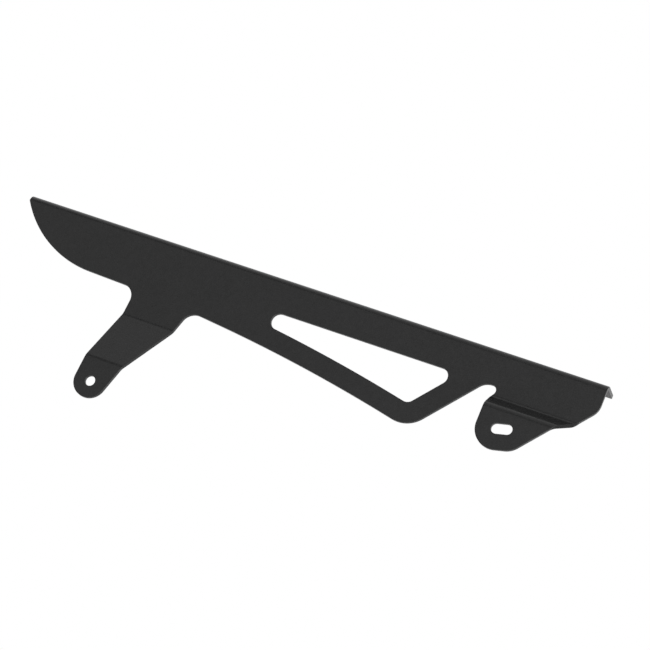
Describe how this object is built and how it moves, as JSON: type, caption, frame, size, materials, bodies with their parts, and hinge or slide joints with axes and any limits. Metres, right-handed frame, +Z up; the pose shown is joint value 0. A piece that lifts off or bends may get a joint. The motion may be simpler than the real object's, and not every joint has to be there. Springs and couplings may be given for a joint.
{
  "type": "motorcycle chain guard",
  "caption": "Folded sheet guard for a drive chain, with a pointed tail, a long window, a stepped arm with a round bolt hole and a stepped lug with a slotted one.",
  "frame": {"origin": "centre of the round bolt hole, on the face of the arm that is bolted to the motorcycle", "axes": "+X along the folded top edge towards the square nose, +Z up, +Y towards the side to which the top flange is folded, where the chain runs"},
  "size_m": [0.3985, 0.0417, 0.1165],
  "materials": {
    "powder_coat": "satin fine-textured black powder coat"
  },
  "bodies": {
    "root": {"guard_plate": "powder_coat"}
  },
  "joints": []
}
